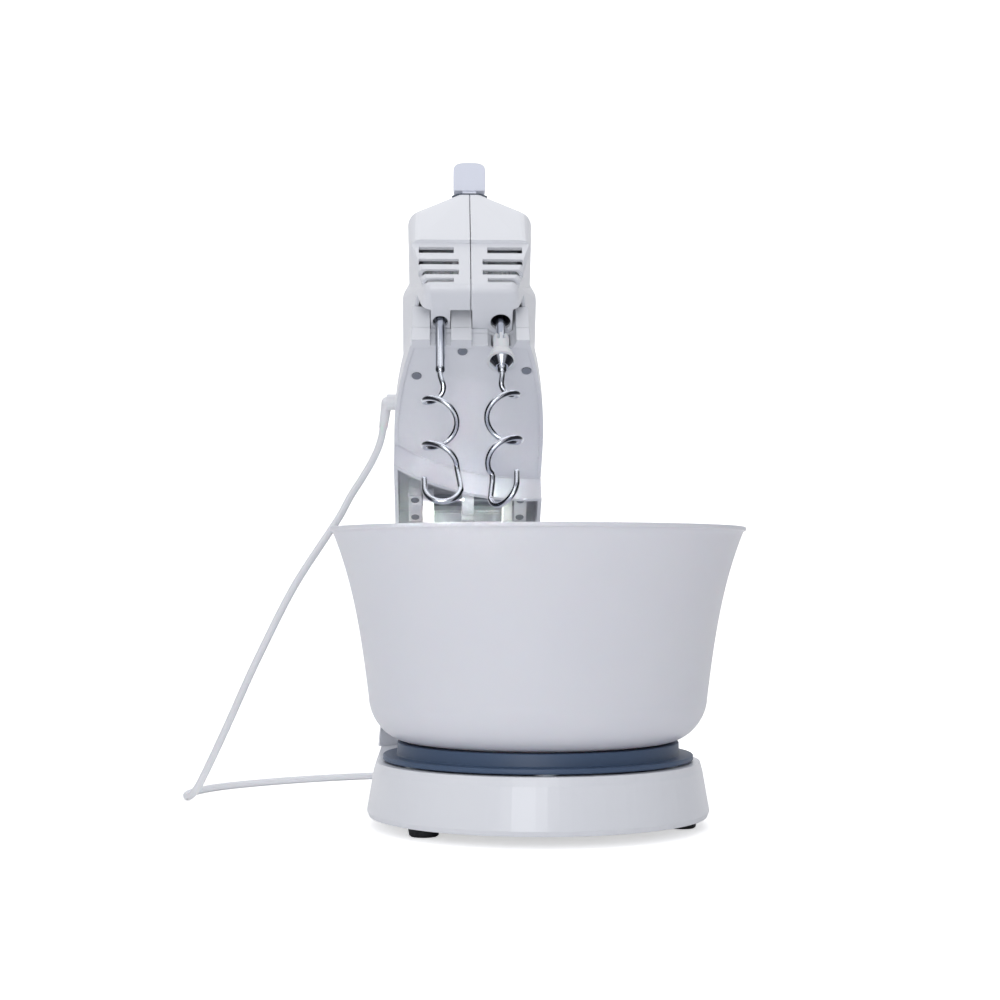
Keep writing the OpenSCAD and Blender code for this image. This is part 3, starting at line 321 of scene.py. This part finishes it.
# The disc's radius, the inside of its wall, and its hub outside and inside
DISC_R, SKIRT_R, HUB_R, BUSH_R, BORE_R = 84.5, 82.0, 11.0, 6.0, 3.0
WELL_DEPTH, FLOOR_BOTTOM, FLANGE_T = 3.5, 6.0, 3.0
disc_outline = [
    (BORE_R, top - WELL_DEPTH), (well, top - WELL_DEPTH), (well, top), (DISC_R, top),
    (DISC_R, low + FLANGE_T), (flange_r, low + FLANGE_T), (flange_r, low),
    (SKIRT_R, low), (SKIRT_R, top - WELL_DEPTH), (FOOT_R + 4, top - WELL_DEPTH),
    (FOOT_R + 2, top - FLOOR_BOTTOM), (HUB_R, top - FLOOR_BOTTOM), (HUB_R, low + 0.3),
    (BUSH_R, low + 0.3), (BUSH_R, top - FLOOR_BOTTOM), (BORE_R, top - FLOOR_BOTTOM)]
closed_outline = round_line([disc_outline[-1]] + disc_outline + [disc_outline[0]], 0.7)[1:-1]
disc_skin = lathe("disc_skin", np.array(closed_outline)[::-1] / 1000, "turntable")
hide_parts("turntable")
print("bowl", len(bowl_skin.data.polygons), "faces, disc", len(disc_skin.data.polygons), "faces")

# %% [markdown]
# ## The dough hooks
#
# Each hook is one bent wire: a straight shaft, a coil that widens from the axis, and an open
# loop. Its line comes from sines and cosines, with a Catmull-Rom curve through the points, drawn
# in the socket's own directions: across, towards the back, and along the tilted shaft.

# %% Hooks
TILT = math.radians(38)
HINGE = Vector((-0.04, 0.1065, 0.2011))
ALONG = Vector((0, -math.cos(TILT), math.sin(TILT)))
UP = Vector((0, math.sin(TILT), math.cos(TILT)))
SOCKET_L, SOCKET_X, UNDER = 158.0, 19.0, 12.1
SHAFT_R, WIRE_R = 3.0, 1.75
SHAFT_IN, SHAFT_OUT, HOOK_LEN = 8.0, 44.0, 149.0
COIL_R, PITCH, TURNS = 10.0, 36.0, 2.0
LOOP_R, LOOP_SHIFT = 10.5, 1.5


def arm_point(x, l, h):
    """A point across, in front of and above the hinge, all in millimetres, in the tilted arm."""
    return HINGE + Vector((x, 0, 0)) / 1000 + ALONG * l / 1000 + UP * h / 1000


def catmull(points, steps=6):
    """A smooth line through the points, steps pieces between each pair."""
    p = np.array(points, float)
    p = np.vstack([2 * p[0] - p[1], p, 2 * p[-1] - p[-2]])
    t = np.linspace(0, 1, steps, endpoint=False)[:, None]
    runs = []
    for a, b, c, d in zip(p, p[1:], p[2:], p[3:]):
        square = (2 * a - 5 * b + 4 * c - d) * t ** 2
        cube = (3 * b - a - 3 * c + d) * t ** 3
        runs.append(0.5 * (2 * b + (c - a) * t + square + cube))
    return np.vstack(runs + [p[-2:-1]])


def hook_line():
    """The wire below the shaft, as (across, back, height) from the socket's axis."""
    foot = UNDER - SHAFT_OUT
    low = UNDER - HOOK_LEN
    u = np.arange(1, 33) / 32
    angle = 2 * np.pi * TURNS * u
    radius = COIL_R * np.minimum(1, 4.5 * u)
    fall = foot - 5 - (TURNS * PITCH + 1) * u
    coil = np.stack([radius * np.cos(angle), radius * np.sin(angle), fall], 1)
    bend = np.radians(15 * np.arange(13))
    across = LOOP_SHIFT + LOOP_R * np.cos(bend)
    height = low + LOOP_R + WIRE_R - LOOP_R * np.sin(bend)
    loop = np.stack([across, 0 * bend, height], 1)
    top_end = [(0, 0, foot + 3), (0, 0, foot - 2)]
    loose_end = [(LOOP_SHIFT - LOOP_R - 0.3, 0, low + LOOP_R + 10)]
    return catmull(top_end + coil.tolist() + loop.tolist() + loose_end, 3)


def add_hook(name, side, mirrored, turn, body, node):
    """The shaft and the wire in one mesh, turned about the socket's axis and set in the arm's frame."""
    shaft = [(0, 0, h) for h in np.linspace(UNDER + SHAFT_IN, UNDER - SHAFT_OUT, 14)]
    parts = []
    total = 0
    faces = []
    for line, radius, sides in ((shaft, SHAFT_R, 24), (hook_line(), WIRE_R, 18)):
        points, quads = sweep(line, radius, sides)
        faces += [[k + total for k in quad] for quad in quads]
        total += len(points)
        parts.append(points)
    points = np.vstack(parts)
    if mirrored:
        points[:, 0] *= -1
        faces = [face[::-1] for face in faces]
    c, s = math.cos(turn), math.sin(turn)
    x = points[:, 0] * c - points[:, 1] * s
    y = points[:, 0] * s + points[:, 1] * c
    origin = np.array(arm_point(side * SOCKET_X, SOCKET_L, 0))
    offset = np.outer(x, (1, 0, 0)) - np.outer(y, ALONG) + np.outer(points[:, 2], UP)
    placed = origin + offset / 1000
    hook = add_mesh(name, placed, faces, body)
    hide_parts(node)
    return hook


left_hook = add_hook("left_hook_wire", -1, False, 0.0, "left_hook", "left_hook")
right_hook = add_hook("right_hook_wire", 1, True, math.radians(-45), "right_hook", "right_hook")
print("hooks", len(left_hook.data.polygons), "faces each")

# %% [markdown]
# ## Materials
#
# `material` makes one material from plain numbers, and `add` makes one node with its settings
# and its links. Colours are written as the sRGB hex codes a person picks and turned to linear
# light by `linear`. Every pattern uses the object's own coordinates in metres, so its scale is
# the real one: a moulded skin has grain about a millimetre across, and turned steel has fine
# rings. The one exception is the chrome's painted reflection, which reads the mirrored direction.

# %% Material helpers


def linear(hex_code):
    """sRGB hex to linear light: divide by 12.92 below 0.04045, else ((c + 0.055) / 1.055) ** 2.4."""
    values = [int(hex_code[i:i + 2], 16) / 255 for i in (1, 3, 5)]
    return [v / 12.92 if v <= 0.04045 else ((v + 0.055) / 1.055) ** 2.4 for v in values] + [1.0]


def add(tree, kind, settings=None, **inputs):
    """Adds a node. settings are its properties; each input is a value or another node's output."""
    node = tree.nodes.new(kind)
    for key, value in (settings or {}).items():
        setattr(node, key, value)
    for key, value in inputs.items():
        by_number = key[0] == "_" and key[1:].isdigit()
        socket = node.inputs[int(key[1:]) if by_number else key.replace("_", " ")]
        if isinstance(value, bpy.types.NodeSocket):
            tree.links.new(value, socket)
        else:
            socket.default_value = value
    return node


def material(name, base, second, roughness=0.4, spread=0.06, grain=900.0, bump=0.04, blotch=14.0,
             edge=0.0006, **shader):
    """A solid material: its colour drifts between base and second in soft blotches, its roughness
    varies with fine grain, and the same grain lifts the surface a little. edge rounds the look of
    sharp corners by that radius. shader holds the sockets that are the same everywhere."""
    made = bpy.data.materials.new(name)
    made.use_nodes = True
    tree = made.node_tree
    tree.nodes.clear()
    place = add(tree, "ShaderNodeTexCoord").outputs["Object"]
    large = add(tree, "ShaderNodeTexNoise", Vector=place, Scale=blotch, Detail=3.0, Roughness=0.5)
    fine = add(tree, "ShaderNodeTexNoise", Vector=place, Scale=grain, Detail=4.0, Roughness=0.6)
    colour = add(tree, "ShaderNodeMix", {"data_type": "RGBA"}, _0=large.outputs["Fac"],
                 _6=linear(base), _7=linear(second))
    rough = add(tree, "ShaderNodeMapRange", Value=fine.outputs["Fac"],
                To_Min=roughness - spread, To_Max=roughness + spread)
    corner = add(tree, "ShaderNodeBevel", {"samples": 4}, Radius=edge)
    lift = add(tree, "ShaderNodeBump", Height=fine.outputs["Fac"], Strength=bump, Distance=0.0004,
               Normal=corner.outputs["Normal"])
    surface = add(tree, "ShaderNodeBsdfPrincipled", Base_Color=colour.outputs[2],
                  Roughness=rough.outputs["Result"], Normal=lift.outputs["Normal"])
    for key, value in shader.items():
        surface.inputs[key.replace("_", " ")].default_value = value
    add(tree, "ShaderNodeOutputMaterial", Surface=surface.outputs["BSDF"])
    return made


print("material helpers ready")

# %% [markdown]
# ## The palette
#
# Moulded plastics have an index near 1.5 and no metal. Plated and turned steel is fully metal.
# The housings are glossier than the bowl, and the disc and the grip's cap are satin.

# %% Palette
PALETTE = {
    "white_plastic": material("moulded_white_abs", "#F1F3F7", "#ECEEF4", 0.30, 0.05, 1400, 0.02,
        IOR=1.53, Coat_Weight=0.15, Coat_Roughness=0.12),
    "bowl_plastic": material("moulded_bowl_polypropylene", "#E9EAF0", "#E2E4EC", 0.34, 0.05, 1100, 0.03,
        IOR=1.49, Subsurface_Weight=0.06, Subsurface_Scale=0.01),
    "slate_blue_plastic": material("satin_slate_blue_abs", "#475C79", "#415571", 0.46, 0.06, 1300, 0.05,
        IOR=1.52),
    "dark_slate_plastic": material("satin_dark_slate_abs", "#3B4859", "#354152", 0.5, 0.06, 1300, 0.06,
        IOR=1.52),
    "lavender_plastic": material("satin_lavender_abs", "#F0F4FF", "#EBEFFD", 0.38, 0.05, 1300, 0.03,
        IOR=1.52),
    "nylon": material("moulded_white_nylon", "#EFF1F3", "#E7EAEE", 0.42, 0.06, 1500, 0.04,
        IOR=1.53, Subsurface_Weight=0.1, Subsurface_Scale=0.004),
    "bright_steel": material("zinc_plated_steel", "#A9ADB4", "#9EA3AB", 0.30, 0.08, 2200, 0.06,
        Metallic=1.0),
    "chromed_steel": material("chromed_steel_wire", "#A6ABB6", "#989EAA", 0.17, 0.05, 1800, 0.02,
        Metallic=1.0),
    "motor_steel": material("laminated_motor_steel", "#7C7F84", "#6E7176", 0.45, 0.1, 2500, 0.1,
        Metallic=1.0),
    "brass": material("turned_brass", "#C8A45A", "#BC9850", 0.3, 0.08, 2200, 0.05, Metallic=1.0),
    "copper": material("enamelled_copper", "#B86B3E", "#A85E34", 0.3, 0.08, 1800, 0.08,
        Metallic=1.0, Coat_Weight=0.3),
    "carbon": material("pressed_carbon", "#2A2A2C", "#222224", 0.6, 0.08, 1800, 0.1, IOR=1.5),
    "board": material("lacquered_board", "#2F6B49", "#28603F", 0.35, 0.08, 1500, 0.05, IOR=1.5),
    "black_rubber": material("moulded_black_rubber", "#1F2023", "#191A1C", 0.62, 0.08, 1200, 0.12,
        IOR=1.5),
    "lead_jacket": material("white_vinyl_lead_jacket", "#F0F1F4", "#E8EAEE", 0.42, 0.05, 1600, 0.06,
        IOR=1.53, Subsurface_Weight=0.05, Subsurface_Scale=0.002),
}

# Painted reflection: the chrome wire's base colour is painted dark where the mirrored direction
# points far to the left or the right. This stands in for the dark room reflected at each side.
chrome = PALETTE["chromed_steel"].node_tree
reflection = add(chrome, "ShaderNodeTexCoord").outputs["Reflection"]
mirrored = add(chrome, "ShaderNodeSeparateXYZ", Vector=reflection)
sideways = add(chrome, "ShaderNodeMath", {"operation": "ABSOLUTE"}, _0=mirrored.outputs["X"])
painted_reflection_mask = add(chrome, "ShaderNodeMapRange", Value=sideways.outputs[0], From_Min=0.55, From_Max=0.75)
# painted reflection colour: light where the wire mirrors the bright room, dark at the sides
painted_reflection_colour = add(chrome, "ShaderNodeMix", {"data_type": "RGBA"}, _0=painted_reflection_mask.outputs["Result"],
              _6=linear("#D9DDE6"), _7=linear("#3A3D44"))
chrome.links.new(painted_reflection_colour.outputs[2], chrome.nodes["Principled BSDF"].inputs["Base Color"])
SLOT_OF = {entry["node"]: entry["material_slot"] for entry in frame["record"]["subparts"]}
for name, part in NODES.items():
    part.data.materials.clear()
    part.data.materials.append(PALETTE[SLOT_OF[name]])
for piece, slot_name in ((mains_lead, "lead_jacket"), (bowl_skin, "bowl_plastic"),
                         (disc_skin, "slate_blue_plastic"), (left_hook, "chromed_steel"),
                         (right_hook, "chromed_steel")):
    piece.data.materials.append(PALETTE[slot_name])
print("materials:", len(PALETTE))

# %% [markdown]
# ## Smooth shading for the CAD parts
#
# The CAD parts are closed meshes with flat faces. A small geometry-nodes modifier marks every
# edge sharper than 32 degrees and shades the rest smooth, without touching the mesh itself.

# %% Smooth by angle
SHARP_ANGLE = 32
smooth_tree = bpy.data.node_groups.new("smooth_by_angle", "GeometryNodeTree")
for direction in ("INPUT", "OUTPUT"):
    smooth_tree.interface.new_socket("Geometry", in_out=direction, socket_type="NodeSocketGeometry")
entry = add(smooth_tree, "NodeGroupInput")
angle = add(smooth_tree, "GeometryNodeInputMeshEdgeAngle")
gentle = add(smooth_tree, "FunctionNodeCompare", {"data_type": "FLOAT", "operation": "LESS_THAN"},
             _0=angle.outputs["Unsigned Angle"], _1=math.radians(SHARP_ANGLE))
faces_smooth = add(smooth_tree, "GeometryNodeSetShadeSmooth", {"domain": "FACE"},
                   Geometry=entry.outputs[0], Shade_Smooth=True)
edges_smooth = add(smooth_tree, "GeometryNodeSetShadeSmooth", {"domain": "EDGE"},
                   Geometry=faces_smooth.outputs[0], Shade_Smooth=gentle.outputs["Result"])
add(smooth_tree, "NodeGroupOutput", _0=edges_smooth.outputs[0])
for part in NODES.values():
    modifier = part.modifiers.new("smooth_by_angle", "NODES")
    modifier.node_group = smooth_tree
print("smoothed", len(NODES), "parts")

# %% [markdown]
# ## The stage
#
# A pale sheet stands under and behind the object, curved where the floor meets the wall, and
# six lamps with a bright world light it like a product picture. One soft lamp is low in front, and
# one narrow beam reaches the hollow under the arm, so that it isn't lost in shadow.

# %% Stage and lights
curve_steps = np.linspace(0, np.pi / 2, 20)
back, floor_front, radius = 1.6, -3.0, 0.8
cove = [(back - radius + radius * math.sin(a), radius - radius * math.cos(a)) for a in curve_steps[1:]]
section = [(floor_front, 0.0), (back - radius, 0.0)] + cove + [(back, 4.0)]
rows = np.array([[(x, y, z) for x in (-4.0, 4.0)] for y, z in section]).reshape(-1, 3)
backdrop_mesh = bpy.data.meshes.new("backdrop")
backdrop_mesh.from_pydata(rows.tolist(), [], grid_faces(len(section), 2, close_columns=False))
backdrop_mesh.polygons.foreach_set("use_smooth", np.full(len(backdrop_mesh.polygons), True))
backdrop = bpy.data.objects.new("backdrop", backdrop_mesh)
bpy.context.collection.objects.link(backdrop)
paper = material("white_paper", "#FFFFFF", "#FDFDFD", 0.9, 0.03, 300, 0.01, edge=0.0,
                 Emission_Color=(1, 1, 1, 1))
paper_surface = paper.node_tree.nodes["Principled BSDF"]
seen = add(paper.node_tree, "ShaderNodeLightPath").outputs["Is Camera Ray"]
glow = add(paper.node_tree, "ShaderNodeMath", {"operation": "MULTIPLY"}, _0=seen, _1=0.55)
paper.node_tree.links.new(glow.outputs[0], paper_surface.inputs["Emission Strength"])
backdrop_mesh.materials.append(paper)

world = bpy.data.worlds.new("studio")
bpy.context.scene.world = world
world.use_nodes = True
sky = world.node_tree.nodes["Background"].inputs
sky["Color"].default_value = linear("#F6F7FD")
sky["Strength"].default_value = 0.36


def soft_lamp(name, place, target, size, power, tint, spread=180):
    """A square area lamp that looks at a point. spread is the angle of its beam, in degrees."""
    data = bpy.data.lights.new(name, "AREA")
    data.size = size
    data.spread = math.radians(spread)
    data.energy = power
    data.color = linear(tint)[:3]
    lamp = bpy.data.objects.new(name, data)
    bpy.context.collection.objects.link(lamp)
    lamp.location = place
    lamp.rotation_euler = (Vector(target) - Vector(place)).to_track_quat("-Z", "Y").to_euler()
    return lamp


soft_lamp("front_top", (-0.15, -1.6, 0.9), (-0.03, 0, 0.25), 0.9, 3.8, "#FFFFFF")
soft_lamp("front_low", (-0.25, -1.35, 0.14), (-0.04, 0, 0.25), 0.5, 3.0, "#FBFCFF")
soft_lamp("hollow_fill", (-0.04, -1.3, 0.30), (-0.045, 0.1, 0.21), 0.05, 0.012, "#FFFFFF", spread=5)
soft_lamp("key_left", (-1.1, -0.5, 1.0), (0, 0, 0.2), 0.8, 1.6, "#FFFFFF")
soft_lamp("top", (0, -0.4, 1.7), (0, 0, 0.2), 1.0, 2.6, "#FFFFFF")
soft_lamp("backdrop_light", (0, 0.75, 1.6), (0, 1.6, 0.5), 2.0, 12.0, "#FFFFFF")
bpy.context.scene.view_settings.view_transform = "Standard"
print("stage ready")

# %% [markdown]
# ## Finish
#
# The last cell brings the scene up to date.

# %% Finish
bpy.context.view_layer.update()
